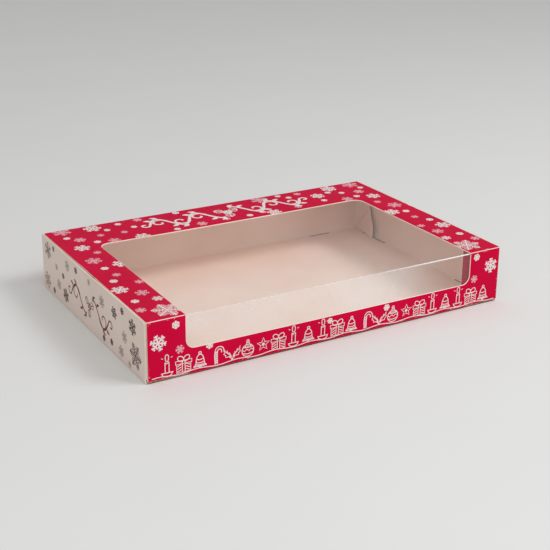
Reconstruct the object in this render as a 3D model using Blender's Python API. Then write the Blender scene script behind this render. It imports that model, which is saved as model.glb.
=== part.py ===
"""Mince pie box: a one-piece creased carton with a clear film window.

The carton is modelled closed, as it stands on a table. Metres, +X along the
length as seen from the front, the front facing -Y, +Z up. The origin is the
middle of the box's length and depth, at the level of its underside.
"""

import math

import bmesh
import bpy

# Outside of the closed box
BOX_LENGTH = 0.230
BOX_DEPTH = 0.152
BOX_HEIGHT = 0.0345

# Board, film and the air between neighbouring pieces
BOARD = 0.0005
FILM = 0.0002
FOLD_INNER_RADIUS = 0.0003
FILM_FOLD_INNER_RADIUS = 0.0006
CLEARANCE = 0.0003
CUT_OVERRUN = 0.002

# Window, one opening that wraps from the top over the front
WINDOW_SIDE_MARGIN = 0.0227
WINDOW_BACK_MARGIN = 0.0347
WINDOW_SILL_HEIGHT = 0.0153
WINDOW_BACK_CORNER_RADIUS = 0.006
WINDOW_SILL_CORNER_RADIUS = 0.005
FILM_GLUE_LAP = 0.008
FILM_CORNER_RADIUS = 0.003

# Front panel and the flap that tucks in over the base
FRONT_PANEL_SIDE_TAPER = 0.0014
TUCK_DEPTH = 0.015
TUCK_SIDE_TAPER = 0.003
TUCK_CORNER_RADIUS = 0.005
TUCK_SIDE_CLEARANCE = 0.001

# Flaps on the front edges of the end walls, behind the front panel
FRONT_FLAP_LENGTH = 0.0225
FRONT_FLAP_SHOULDER = 0.0012
FRONT_FLAP_SHOULDER_RUN = 0.004
FRONT_FLAP_TOP_RADIUS = 0.002
FRONT_FLAP_BOTTOM_RADIUS = 0.004
FRONT_FLAP_REST_SWING = 28
FRONT_FLAP_OUTWARD_SWING = 20

# Glued flaps on the back wall, lying inside the end walls
CORNER_FLAP_TOP_WIDTH = 0.016
CORNER_FLAP_BOTTOM_WIDTH = 0.025
CORNER_FLAP_RADIUS = 0.002
COLLAPSE_CREASE_WIDTH = 0.0007
COLLAPSE_CREASE_DEPTH = 0.00015

# Base, with slits that ease its creases
BASE_FRONT_SETBACK = 0.001
SLIT_DEPTH = 0.0005
BACK_SLIT_LENGTH = 0.016
BACK_SLIT_FROM_END = 0.0236
SIDE_SLIT_LENGTH = 0.024
SIDE_SLIT_FROM_CORNER = 0.011

# Facets along each quarter fold and each rounded corner
FOLD_STEPS = 8
CORNER_STEPS = 6

RED = (0.62, 0.012, 0.045, 1.0)
CREAM = (0.62, 0.53, 0.45, 1.0)
CLEAR = (0.85, 0.87, 0.88, 1.0)

HALF_LENGTH = BOX_LENGTH / 2
HALF_DEPTH = BOX_DEPTH / 2
FOLD_RADIUS = FOLD_INNER_RADIUS + BOARD
FILM_FOLD_RADIUS = FILM_FOLD_INNER_RADIUS + FILM

# The lid and front panel drop in between the end walls
LID_HALF_LENGTH = HALF_LENGTH - BOARD - CLEARANCE
WINDOW_HALF_LENGTH = HALF_LENGTH - WINDOW_SIDE_MARGIN
WINDOW_BACK = HALF_DEPTH - WINDOW_BACK_MARGIN

# Centre of the fold at each end of the lid, and the film's place under it
LID_FOLD_Z = BOX_HEIGHT - FOLD_RADIUS
LID_FRONT_FOLD_Y = FOLD_RADIUS - HALF_DEPTH
LID_BACK_FOLD_Y = HALF_DEPTH - FOLD_RADIUS
FILM_TOP = BOX_HEIGHT - BOARD - CLEARANCE
FILM_FRONT = BOARD + CLEARANCE - HALF_DEPTH

# The tuck flap lies on the base, and the front flaps swing above it
TUCK_BOTTOM = BOARD + CLEARANCE
TUCK_FOLD_Z = TUCK_BOTTOM + FOLD_RADIUS
FRONT_FLAP_BOTTOM = TUCK_BOTTOM + BOARD + CLEARANCE
FRONT_FLAP_TOP = FILM_TOP - FILM - CLEARANCE
FRONT_FLAP_AXIS_X = HALF_LENGTH - FOLD_RADIUS
FRONT_FLAP_AXIS_Y = BOARD + CLEARANCE + FOLD_RADIUS - HALF_DEPTH
TUCK_HALF_LENGTH = FRONT_FLAP_AXIS_X - FRONT_FLAP_LENGTH - TUCK_SIDE_CLEARANCE

# The corner flaps' fold, just inside the end walls
CORNER_FLAP_FACE = HALF_LENGTH - BOARD - CLEARANCE
CORNER_FOLD_X = CORNER_FLAP_FACE - FOLD_RADIUS
CORNER_FLAP_BOTTOM = BOARD + CLEARANCE
CORNER_FLAP_TOP = BOX_HEIGHT - FOLD_RADIUS - CLEARANCE


def start_empty():
    """Removes whatever the file holds."""
    for found in list(bpy.data.objects):
        bpy.data.objects.remove(found, do_unlink=True)


def finish(name, colour, roughness, transmission=0.0):
    """Makes a material for one sub-part."""
    material = bpy.data.materials.new(name)
    material.use_nodes = True
    shader = material.node_tree.nodes["Principled BSDF"]
    shader.inputs["Base Color"].default_value = colour
    shader.inputs["Roughness"].default_value = roughness
    shader.inputs["Metallic"].default_value = 0.0
    shader.inputs["Transmission Weight"].default_value = transmission
    return material


def arc(centre, radius, start, end, steps=FOLD_STEPS):
    """Points of an arc from start to end, in degrees."""
    points = []
    for step in range(steps + 1):
        angle = math.radians(start + (end - start) * step / steps)
        points.append((centre[0] + radius * math.cos(angle),
                       centre[1] + radius * math.sin(angle)))
    return points


def fillet(before, corner, after, radius):
    """Points of the round that replaces one corner of an outline."""
    to_before = (before[0] - corner[0], before[1] - corner[1])
    to_after = (after[0] - corner[0], after[1] - corner[1])
    reach_before = math.hypot(*to_before)
    reach_after = math.hypot(*to_after)
    turn = math.acos((to_before[0] * to_after[0] + to_before[1] * to_after[1])
                     / (reach_before * reach_after))
    run = min(radius / math.tan(turn / 2), reach_before / 2, reach_after / 2)
    bow = run * math.tan(turn / 2) / math.sin(turn / 2)
    unit_before = (to_before[0] / reach_before, to_before[1] / reach_before)
    unit_after = (to_after[0] / reach_after, to_after[1] / reach_after)
    middle = (unit_before[0] + unit_after[0], unit_before[1] + unit_after[1])
    middle_reach = math.hypot(*middle)
    centre = (corner[0] + middle[0] / middle_reach * bow,
              corner[1] + middle[1] / middle_reach * bow)
    first = (corner[0] + unit_before[0] * run, corner[1] + unit_before[1] * run)
    last = (corner[0] + unit_after[0] * run, corner[1] + unit_after[1] * run)
    start = math.degrees(math.atan2(first[1] - centre[1], first[0] - centre[0]))
    end = math.degrees(math.atan2(last[1] - centre[1], last[0] - centre[0]))
    sweep = (end - start + 180) % 360 - 180
    return arc(centre, math.dist(centre, first), start, start + sweep, CORNER_STEPS)


def rounded(corners):
    """Turns corners of x, y and radius into an outline."""
    outline = []
    for index, (x, y, radius) in enumerate(corners):
        before = corners[index - 1][:2]
        after = corners[(index + 1) % len(corners)][:2]
        if radius > 0:
            outline += fillet(before, (x, y), after, radius)
        else:
            outline.append((x, y))
    return outline


# Where a point of an outline goes, for a prism along each axis
PRISM_AXES = {
    "X": lambda along, a, b: (along, a, b),
    "Y": lambda along, a, b: (a, along, b),
    "Z": lambda along, a, b: (a, b, along),
}


def prism(name, axis, outline, low, high, mitres=()):
    """Extrudes an outline along an axis, after cutting it at its mitres.

    A mitre is a point and a direction in the outline's plane: what lies
    ahead of the point in that direction is cut away.
    """
    place = PRISM_AXES[axis]
    mesh = bmesh.new()
    mesh.faces.new([mesh.verts.new(place(low, a, b)) for a, b in outline])
    for point, ahead in mitres:
        bmesh.ops.bisect_plane(
            mesh, geom=mesh.verts[:] + mesh.edges[:] + mesh.faces[:],
            plane_co=place(low, *point), plane_no=place(0, *ahead), clear_outer=True)
    grown = bmesh.ops.extrude_face_region(mesh, geom=mesh.faces[:])
    moved = [item for item in grown["geom"] if isinstance(item, bmesh.types.BMVert)]
    bmesh.ops.translate(mesh, vec=place(high - low, 0, 0), verts=moved)
    bmesh.ops.recalc_face_normals(mesh, faces=mesh.faces[:])
    data = bpy.data.meshes.new(name)
    mesh.to_mesh(data)
    mesh.free()
    made = bpy.data.objects.new(name, data)
    bpy.context.collection.objects.link(made)
    return made


def cut(piece, cutter, operation="DIFFERENCE"):
    """Cuts a piece with a hidden cutter, or keeps what the two share."""
    cutter.hide_render = True
    cutter.display_type = "WIRE"
    cutter.parent = piece
    boolean = piece.modifiers.new(cutter.name, "BOOLEAN")
    boolean.object = cutter
    boolean.operation = operation
    boolean.solver = "EXACT"


def keep_within(piece, axis, outline, low, high):
    """Trims a folded profile to the flat shape that was cut from the sheet."""
    trim = prism(piece.name + "_outline", axis, outline,
                 low - CUT_OVERRUN, high + CUT_OVERRUN)
    cut(piece, trim, "INTERSECT")


def shade(piece, material):
    """Gives a piece its material and smooth folds."""
    piece.data.materials.append(material)
    piece.data.shade_smooth()
    piece.data.set_sharp_from_angle(angle=math.radians(30))
    return piece


def mitre(corner, ahead):
    """Half of the clearance at a crease that bends, seen from one side."""
    reach = math.hypot(*ahead)
    back = CLEARANCE / 2 / reach
    point = (corner[0] - ahead[0] * back, corner[1] - ahead[1] * back)
    return point, ahead


def base_panel():
    """The floor, with slits cut into the edges that the walls fold up from."""
    side = HALF_LENGTH - FOLD_RADIUS - CLEARANCE
    back = HALF_DEPTH - FOLD_RADIUS - CLEARANCE
    front = BASE_FRONT_SETBACK - HALF_DEPTH
    outline = [(-side, front), (side, front), (side, back), (-side, back)]
    base = prism("base_panel", "Z", outline, 0, BOARD)
    slits = []
    for hand, end in ((-1, "left"), (1, "right")):
        outer = hand * (HALF_LENGTH - BACK_SLIT_FROM_END)
        inner = outer - hand * BACK_SLIT_LENGTH
        slits.append(("back_slit_" + end, outer, inner,
                      back - SLIT_DEPTH, back + CUT_OVERRUN))
        for corner, far in ((-HALF_DEPTH, "front"), (HALF_DEPTH, "rear")):
            inward = math.copysign(1, -corner)
            start = corner + inward * SIDE_SLIT_FROM_CORNER
            slits.append((far + "_slit_" + end,
                          hand * (side - SLIT_DEPTH), hand * (side + CUT_OVERRUN),
                          start, start + inward * SIDE_SLIT_LENGTH))
    for name, x0, x1, y0, y1 in slits:
        slit = [(x0, y0), (x1, y0), (x1, y1), (x0, y1)]
        cut(base, prism(name, "Z", slit, -CUT_OVERRUN, BOARD + CUT_OVERRUN))
    return shade(base, finish("cream_board_base", CREAM, 0.7))


def back_wall():
    """The rear wall, curled up from the base and creased into the lid."""
    foot = (HALF_DEPTH - FOLD_RADIUS, FOLD_RADIUS)
    head = (LID_BACK_FOLD_Y, LID_FOLD_Z)
    profile = (arc(foot, FOLD_RADIUS, 270, 360) + arc(head, FOLD_RADIUS, 0, 90)
               + arc(head, FOLD_INNER_RADIUS, 90, 0)
               + arc(foot, FOLD_INNER_RADIUS, 360, 270))
    end = CORNER_FOLD_X - CLEARANCE
    wall = prism("back_wall", "X", profile, -end, end,
                 [mitre((HALF_DEPTH, BOX_HEIGHT), (-1, 1))])
    return shade(wall, finish("red_board_back", RED, 0.45))


def end_wall(hand, name):
    """An end wall, curled up from the base, with its top edge left raw."""
    foot = (HALF_LENGTH - FOLD_RADIUS, FOLD_RADIUS)
    profile = (arc(foot, FOLD_RADIUS, 270, 360)
               + [(HALF_LENGTH, BOX_HEIGHT), (HALF_LENGTH - BOARD, BOX_HEIGHT)]
               + arc(foot, FOLD_INNER_RADIUS, 360, 270))
    profile = [(hand * x, z) for x, z in profile]
    wall = prism(name, "Y", profile, FRONT_FLAP_AXIS_Y, HALF_DEPTH)
    return shade(wall, finish("cream_board_" + name, CREAM, 0.55))


def corner_flap(hand, name):
    """A glued flap: it turns off the back wall and lies inside the end wall.

    Its free edge leans back at the top. A crease at 45 degrees runs up from
    the corner, along which it folds when the box is stored flat.
    """
    fold = (CORNER_FOLD_X, HALF_DEPTH - FOLD_RADIUS)
    free = HALF_DEPTH - CORNER_FLAP_BOTTOM_WIDTH - CUT_OVERRUN
    profile = (arc(fold, FOLD_RADIUS, 90, 0) + [(CORNER_FLAP_FACE, free)]
               + [(CORNER_FLAP_FACE - BOARD, free)]
               + arc(fold, FOLD_INNER_RADIUS, 0, 90))
    profile = [(hand * x, y) for x, y in profile]
    flap = prism(name, "Z", profile, CORNER_FLAP_BOTTOM - CUT_OVERRUN,
                 CORNER_FLAP_TOP + CUT_OVERRUN)
    outline = rounded([
        (HALF_DEPTH + CUT_OVERRUN, CORNER_FLAP_BOTTOM, 0),
        (HALF_DEPTH + CUT_OVERRUN, CORNER_FLAP_TOP, 0),
        (HALF_DEPTH - CORNER_FLAP_TOP_WIDTH, CORNER_FLAP_TOP, CORNER_FLAP_RADIUS),
        (HALF_DEPTH - CORNER_FLAP_BOTTOM_WIDTH, CORNER_FLAP_BOTTOM, CORNER_FLAP_RADIUS)])
    inner = hand * (CORNER_FOLD_X - FOLD_RADIUS)
    outer = hand * CORNER_FLAP_FACE
    keep_within(flap, "X", outline, min(inner, outer), max(inner, outer))
    # Scored groove on the inner face, square to a line at 45 degrees
    start = (fold[1], CORNER_FLAP_BOTTOM)
    run = CORNER_FLAP_BOTTOM_WIDTH
    half = COLLAPSE_CREASE_WIDTH / math.sqrt(8)
    groove = [(start[0] - half, start[1] - half), (start[0] + half, start[1] + half),
              (start[0] + half - run, start[1] + half + run),
              (start[0] - half - run, start[1] - half + run)]
    floor = hand * (CORNER_FLAP_FACE - BOARD + COLLAPSE_CREASE_DEPTH)
    open_side = floor - hand * CUT_OVERRUN
    cut(flap, prism(name + "_crease", "X", groove,
                    min(floor, open_side), max(floor, open_side)))
    return shade(flap, finish("cream_board_" + name, CREAM, 0.7))


def front_flap(hand, name):
    """A flap on an end wall's front edge, sprung inwards behind the front.

    It is made square to the wall around its own axis, then turned in. Its
    fold starts late enough to leave room for swinging out again.
    """
    room = math.degrees(CLEARANCE / (FOLD_INNER_RADIUS + BOARD / 2))
    start = FRONT_FLAP_OUTWARD_SWING + room - FRONT_FLAP_REST_SWING
    profile = (arc((0, 0), FOLD_RADIUS, -start, -90)
               + [(-FRONT_FLAP_LENGTH, -FOLD_RADIUS)]
               + [(-FRONT_FLAP_LENGTH, -FOLD_INNER_RADIUS)]
               + arc((0, 0), FOLD_INNER_RADIUS, -90, -start))
    profile = [(hand * x, y) for x, y in profile]
    low = FRONT_FLAP_BOTTOM
    high = FRONT_FLAP_TOP
    flap = prism(name, "Z", profile, low - CUT_OVERRUN, high + CUT_OVERRUN)
    shoulder = -FOLD_RADIUS
    outline = rounded([
        (CUT_OVERRUN, low + FRONT_FLAP_SHOULDER, 0),
        (CUT_OVERRUN, high, 0),
        (-FRONT_FLAP_LENGTH, high, FRONT_FLAP_TOP_RADIUS),
        (-FRONT_FLAP_LENGTH, low, FRONT_FLAP_BOTTOM_RADIUS),
        (shoulder - FRONT_FLAP_SHOULDER_RUN, low, 0),
        (shoulder, low + FRONT_FLAP_SHOULDER, 0)])
    outline = [(hand * x, z) for x, z in outline]
    keep_within(flap, "Y", outline, -FOLD_RADIUS, FOLD_RADIUS)
    flap.location = (hand * FRONT_FLAP_AXIS_X, FRONT_FLAP_AXIS_Y, 0)
    flap.rotation_euler = (0, 0, -hand * math.radians(FRONT_FLAP_REST_SWING))
    return shade(flap, finish("red_board_" + name, RED, 0.5))


def crease_axis(name, y, z):
    """An empty on the line of a crease that runs along the box."""
    axis = bpy.data.objects.new(name, None)
    axis.location = (0, y, z)
    bpy.context.collection.objects.link(axis)
    return axis


def hang(carrier, *hung):
    """Hangs pieces, or the next crease, on a crease without moving them."""
    bpy.context.view_layer.update()
    for piece in hung:
        piece.parent = carrier
        piece.matrix_parent_inverse = carrier.matrix_world.inverted()


def lid_panel():
    """The top: hinged at the rear, creased at the front, window cut out."""
    rear = (LID_BACK_FOLD_Y, LID_FOLD_Z)
    front = (LID_FRONT_FOLD_Y, LID_FOLD_Z)
    profile = (arc(rear, FOLD_RADIUS, 0, 90) + arc(front, FOLD_RADIUS, 90, 180)
               + arc(front, FOLD_INNER_RADIUS, 180, 90)
               + arc(rear, FOLD_INNER_RADIUS, 90, 0))
    lid = prism("lid_panel", "X", profile,
                -HALF_LENGTH - CUT_OVERRUN, HALF_LENGTH + CUT_OVERRUN,
                [mitre((HALF_DEPTH, BOX_HEIGHT), (1, -1)),
                 mitre((-HALF_DEPTH, BOX_HEIGHT), (-1, -1))])
    front_end = -HALF_DEPTH - CUT_OVERRUN
    back_end = HALF_DEPTH + CUT_OVERRUN
    outline = rounded([
        (-LID_HALF_LENGTH, front_end, 0),
        (-WINDOW_HALF_LENGTH, front_end, 0),
        (-WINDOW_HALF_LENGTH, WINDOW_BACK, WINDOW_BACK_CORNER_RADIUS),
        (WINDOW_HALF_LENGTH, WINDOW_BACK, WINDOW_BACK_CORNER_RADIUS),
        (WINDOW_HALF_LENGTH, front_end, 0),
        (LID_HALF_LENGTH, front_end, 0),
        (LID_HALF_LENGTH, back_end, 0),
        (-LID_HALF_LENGTH, back_end, 0)])
    keep_within(lid, "Z", outline, LID_FOLD_Z, BOX_HEIGHT)
    return shade(lid, finish("red_board_lid", RED, 0.45))


def front_panel():
    """The front: it tapers downwards, and the window's sill is cut in it."""
    head = (LID_FRONT_FOLD_Y, LID_FOLD_Z)
    low = TUCK_FOLD_Z + CLEARANCE
    profile = (arc(head, FOLD_RADIUS, 90, 180)
               + [(-HALF_DEPTH, low), (BOARD - HALF_DEPTH, low)]
               + arc(head, FOLD_INNER_RADIUS, 180, 90))
    panel = prism("front_panel", "X", profile,
                  -HALF_LENGTH - CUT_OVERRUN, HALF_LENGTH + CUT_OVERRUN,
                  [mitre((-HALF_DEPTH, BOX_HEIGHT), (1, 1))])
    top_end = BOX_HEIGHT + CUT_OVERRUN
    bottom_end = low - CUT_OVERRUN
    foot_half = LID_HALF_LENGTH - FRONT_PANEL_SIDE_TAPER
    outline = rounded([
        (-foot_half, bottom_end, 0),
        (foot_half, bottom_end, 0),
        (LID_HALF_LENGTH, LID_FOLD_Z, 0),
        (LID_HALF_LENGTH, top_end, 0),
        (WINDOW_HALF_LENGTH, top_end, 0),
        (WINDOW_HALF_LENGTH, WINDOW_SILL_HEIGHT, WINDOW_SILL_CORNER_RADIUS),
        (-WINDOW_HALF_LENGTH, WINDOW_SILL_HEIGHT, WINDOW_SILL_CORNER_RADIUS),
        (-WINDOW_HALF_LENGTH, top_end, 0),
        (-LID_HALF_LENGTH, top_end, 0),
        (-LID_HALF_LENGTH, LID_FOLD_Z, 0)])
    keep_within(panel, "Y", outline, -HALF_DEPTH, LID_FRONT_FOLD_Y)
    return shade(panel, finish("red_board_front", RED, 0.45))


def tuck_flap():
    """The flap under the front panel, slid in flat over the base."""
    fold = (LID_FRONT_FOLD_Y, TUCK_FOLD_Z)
    inner_end = TUCK_DEPTH - HALF_DEPTH
    profile = (arc(fold, FOLD_RADIUS, 180, 270)
               + [(inner_end, TUCK_BOTTOM), (inner_end, TUCK_BOTTOM + BOARD)]
               + arc(fold, FOLD_INNER_RADIUS, 270, 180))
    flap = prism("tuck_flap", "X", profile,
                 -HALF_LENGTH - CUT_OVERRUN, HALF_LENGTH + CUT_OVERRUN)
    front_end = -HALF_DEPTH - CUT_OVERRUN
    tip_half = TUCK_HALF_LENGTH - TUCK_SIDE_TAPER
    outline = rounded([
        (-TUCK_HALF_LENGTH, front_end, 0),
        (TUCK_HALF_LENGTH, front_end, 0),
        (TUCK_HALF_LENGTH, LID_FRONT_FOLD_Y, 0),
        (tip_half, inner_end, TUCK_CORNER_RADIUS),
        (-tip_half, inner_end, TUCK_CORNER_RADIUS),
        (-TUCK_HALF_LENGTH, LID_FRONT_FOLD_Y, 0)])
    keep_within(flap, "Z", outline, TUCK_BOTTOM, TUCK_FOLD_Z)
    return shade(flap, finish("red_board_tuck", RED, 0.5))


def film_top():
    """The window film's top half, glued under the lid past the opening."""
    fold = (FILM_FRONT + FILM_FOLD_RADIUS, FILM_TOP - FILM_FOLD_RADIUS)
    back = WINDOW_BACK + FILM_GLUE_LAP
    profile = ([(back, FILM_TOP)] + arc(fold, FILM_FOLD_RADIUS, 90, 180)
               + arc(fold, FILM_FOLD_INNER_RADIUS, 180, 90)
               + [(back, FILM_TOP - FILM)])
    half = WINDOW_HALF_LENGTH + FILM_GLUE_LAP
    film = prism("window_film_top", "X", profile, -half - CUT_OVERRUN,
                 half + CUT_OVERRUN, [mitre((FILM_FRONT, FILM_TOP), (-1, -1))])
    front_end = FILM_FRONT - CUT_OVERRUN
    outline = rounded([
        (-half, front_end, 0), (half, front_end, 0),
        (half, back, FILM_CORNER_RADIUS), (-half, back, FILM_CORNER_RADIUS)])
    keep_within(film, "Z", outline, FILM_TOP - FILM_FOLD_RADIUS, FILM_TOP)
    return shade(film, finish("clear_film_top", CLEAR, 0.08, 0.9))


def film_front():
    """The film's front half, glued behind the front panel."""
    fold = (FILM_FRONT + FILM_FOLD_RADIUS, FILM_TOP - FILM_FOLD_RADIUS)
    low = WINDOW_SILL_HEIGHT - FILM_GLUE_LAP
    profile = (arc(fold, FILM_FOLD_RADIUS, 90, 180)
               + [(FILM_FRONT, low), (FILM_FRONT + FILM, low)]
               + arc(fold, FILM_FOLD_INNER_RADIUS, 180, 90))
    half = WINDOW_HALF_LENGTH + FILM_GLUE_LAP
    film = prism("window_film_front", "X", profile, -half - CUT_OVERRUN,
                 half + CUT_OVERRUN, [mitre((FILM_FRONT, FILM_TOP), (1, 1))])
    top_end = FILM_TOP + CUT_OVERRUN
    outline = rounded([
        (-half, top_end, 0), (-half, low, FILM_CORNER_RADIUS),
        (half, low, FILM_CORNER_RADIUS), (half, top_end, 0)])
    keep_within(film, "Y", outline, FILM_FRONT, FILM_FRONT + FILM_FOLD_RADIUS)
    return shade(film, finish("clear_film_front", CLEAR, 0.08, 0.9))


def build():
    """Builds the tray, then the lid that hangs on its rear crease."""
    start_empty()
    base_panel()
    back_wall()
    for hand, side in ((-1, "left"), (1, "right")):
        end_wall(hand, side + "_end_wall")
        corner_flap(hand, side + "_corner_flap")
        front_flap(hand, side + "_front_flap")
    lid_axis = crease_axis("lid_axis", HALF_DEPTH, BOX_HEIGHT)
    front_axis = crease_axis("front_axis", -HALF_DEPTH, BOX_HEIGHT)
    tuck_axis = crease_axis("tuck_axis", LID_FRONT_FOLD_Y, TUCK_FOLD_Z)
    hang(lid_axis, lid_panel(), film_top(), front_axis)
    hang(front_axis, front_panel(), film_front(), tuck_axis)
    hang(tuck_axis, tuck_flap())


build()
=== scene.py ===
from math import atan2, cos, hypot, pi, radians, sin

import bmesh
import bpy
from mathutils import Matrix, Vector


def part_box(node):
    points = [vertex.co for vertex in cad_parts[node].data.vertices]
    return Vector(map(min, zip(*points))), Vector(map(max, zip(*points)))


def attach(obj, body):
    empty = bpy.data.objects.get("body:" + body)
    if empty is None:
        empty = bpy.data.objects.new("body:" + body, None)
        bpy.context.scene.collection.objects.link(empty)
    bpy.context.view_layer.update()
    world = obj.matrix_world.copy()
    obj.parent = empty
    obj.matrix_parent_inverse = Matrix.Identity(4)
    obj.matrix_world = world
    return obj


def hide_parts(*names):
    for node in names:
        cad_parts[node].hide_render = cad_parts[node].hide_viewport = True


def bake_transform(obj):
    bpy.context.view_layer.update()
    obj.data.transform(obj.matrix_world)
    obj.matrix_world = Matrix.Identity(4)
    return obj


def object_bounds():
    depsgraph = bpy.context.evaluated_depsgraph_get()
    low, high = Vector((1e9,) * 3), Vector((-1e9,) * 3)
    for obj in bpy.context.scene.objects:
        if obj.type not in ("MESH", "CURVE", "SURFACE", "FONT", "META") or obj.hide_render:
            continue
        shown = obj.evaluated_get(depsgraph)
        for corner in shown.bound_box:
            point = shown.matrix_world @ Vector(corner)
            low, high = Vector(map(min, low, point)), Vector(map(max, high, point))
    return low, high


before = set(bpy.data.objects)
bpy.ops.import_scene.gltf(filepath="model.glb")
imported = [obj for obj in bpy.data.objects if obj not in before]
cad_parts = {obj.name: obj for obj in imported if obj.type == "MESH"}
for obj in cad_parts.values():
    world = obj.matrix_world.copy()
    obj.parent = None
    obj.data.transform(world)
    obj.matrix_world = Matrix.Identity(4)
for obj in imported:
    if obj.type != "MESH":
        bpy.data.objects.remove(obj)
cad_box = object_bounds()

# The sheet the carton is folded from is 0.5 mm folding boxboard: grey-cream fibre inside, a smooth
# white coating outside that takes the print. Every panel below is a sheet of it, thickened inwards
# from its outer face, which the frame gives.
mm = 0.001
half_length, half_depth, height = cad_box[1]
board = 0.5 * mm
fold = 0.8 * mm          # outer radius of a crease
fold_x, fold_y, fold_z = half_length - fold, half_depth - fold, height - fold    # where creases turn


def fill(tree, node, inputs):
    """Fills a node's inputs, or links them."""
    for name, value in inputs.items():
        if isinstance(value, bpy.types.NodeSocket):
            tree.links.new(value, node.inputs[name])
        else:
            node.inputs[name].default_value = value


def put(tree, kind, inputs=None, **settings):
    """Adds a node with its settings and its inputs."""
    node = tree.nodes.new(kind)
    for name, value in settings.items():
        setattr(node, name, value)
    fill(tree, node, inputs or {})
    return node


def maths(tree, operation, *values):
    """One Math node's result."""
    return put(tree, "ShaderNodeMath", dict(enumerate(values)), operation=operation).outputs[0]


def vector_maths(tree, operation, *values):
    """One Vector Math node's result."""
    inputs = dict(enumerate(values))
    return put(tree, "ShaderNodeVectorMath", inputs, operation=operation).outputs["Vector"]


def ramp(tree, value, start, end, low=0.0, high=1.0):
    """A value eased from low to high between start and end."""
    inputs = {"Value": value, "From Min": start, "From Max": end, "To Min": low, "To Max": high}
    return put(tree, "ShaderNodeMapRange", inputs, interpolation_type="SMOOTHSTEP").outputs["Result"]


def noise(tree, place, scale, detail, roughness=0.5):
    """Cloudy noise of 0 to 1."""
    inputs = {"Vector": place, "Scale": scale, "Detail": detail, "Roughness": roughness}
    return put(tree, "ShaderNodeTexNoise", inputs).outputs["Fac"]


def bumps(tree, raised, strength, depth):
    """A normal from a raised pattern."""
    inputs = {"Strength": strength, "Distance": depth, "Height": raised}
    return put(tree, "ShaderNodeBump", inputs).outputs["Normal"]


def blend_colours(tree, share, first, second):
    """The first colour with a share of the second."""
    inputs = {"Factor": share, 6: first, 7: second}
    return put(tree, "ShaderNodeMix", inputs, data_type="RGBA").outputs[2]


def effect(name, inputs, outputs):
    """An empty node group, with the sockets of its two ends. An input without a usual value is a
    place, and all other sockets are numbers."""
    tree = bpy.data.node_groups.new(name, "ShaderNodeTree")
    for socket, usual in inputs.items():
        kind = "NodeSocketVector" if usual is None else "NodeSocketFloat"
        made = tree.interface.new_socket(socket, in_out="INPUT", socket_type=kind)
        if usual is not None:
            made.default_value = usual
    for socket in outputs:
        tree.interface.new_socket(socket, in_out="OUTPUT", socket_type="NodeSocketFloat")
    return tree, tree.nodes.new("NodeGroupInput").outputs, tree.nodes.new("NodeGroupOutput")


# Board grain: fibres a few millimetres long lie mostly along the sheet, over soft cloudy patches.
grain, grain_in, grain_out = effect(
    "board grain", {"Place": None, "Fibre Length": 2.5 * mm, "Cloud Size": 30 * mm},
    ("Fibre", "Cloud", "Speck"))
stretched = put(grain, "ShaderNodeMapping", {"Vector": grain_in["Place"], "Scale": (1, 4, 4)})
per_fibre = maths(grain, "DIVIDE", 1.0, grain_in["Fibre Length"])
per_cloud = maths(grain, "DIVIDE", 1.0, grain_in["Cloud Size"])
specks = put(grain, "ShaderNodeTexVoronoi", {
    "Vector": grain_in["Place"], "Scale": maths(grain, "MULTIPLY", per_fibre, 0.45)})
fill(grain, grain_out, {
    "Fibre": noise(grain, stretched.outputs["Vector"], per_fibre, 4.0, 0.65),
    "Cloud": noise(grain, grain_in["Place"], per_cloud, 3.0),
    "Speck": ramp(grain, specks.outputs["Distance"], 0.16, 0.06)})


# Scuffs: print wears to the pale fibre, in flecks along a panel's edges. Half Size is how far the
# panel reaches from its middle, and a metre where it has no edge.
wear_width = 0.8 * mm
scuffs, scuffs_in, scuffs_out = effect(
    "scuffs", {"Place": None, "Middle": None, "Half Size": None}, ("Worn",))
from_middle = vector_maths(scuffs, "SUBTRACT", scuffs_in["Place"], scuffs_in["Middle"])
from_middle = vector_maths(scuffs, "ABSOLUTE", from_middle)
from_edge = vector_maths(scuffs, "SUBTRACT", scuffs_in["Half Size"], from_middle)
from_edge = put(scuffs, "ShaderNodeSeparateXYZ", {"Vector": vector_maths(scuffs, "ABSOLUTE", from_edge)})
nearest = maths(scuffs, "MINIMUM", from_edge.outputs["X"], from_edge.outputs["Y"])
nearest = maths(scuffs, "MINIMUM", nearest, from_edge.outputs["Z"])
patches = noise(scuffs, scuffs_in["Place"], 45.0, 2.0)
limit = ramp(scuffs, nearest, 0.0, wear_width, 0.74, 1.0)
limit = maths(scuffs, "MULTIPLY_ADD", patches, -0.35, limit)
over_limit = maths(scuffs, "SUBTRACT", noise(scuffs, scuffs_in["Place"], 380.0, 5.0, 0.7), limit)
fill(scuffs, scuffs_out, {"Worn": ramp(scuffs, over_limit, 0.0, 0.05)})


def material_of(name):
    """A new material, its node tree, and its Principled shader."""
    made = bpy.data.materials.new(name)
    made.use_nodes = True
    return made, made.node_tree, made.node_tree.nodes["Principled BSDF"]


def colour(red, green, blue):
    """An sRGB colour of 0 to 255 as the linear colour that a shader takes."""
    shares = (red / 255, green / 255, blue / 255)
    return tuple(s / 12.92 if s < 0.04045 else ((s + 0.055) / 1.055) ** 2.4 for s in shares) + (1,)


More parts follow.
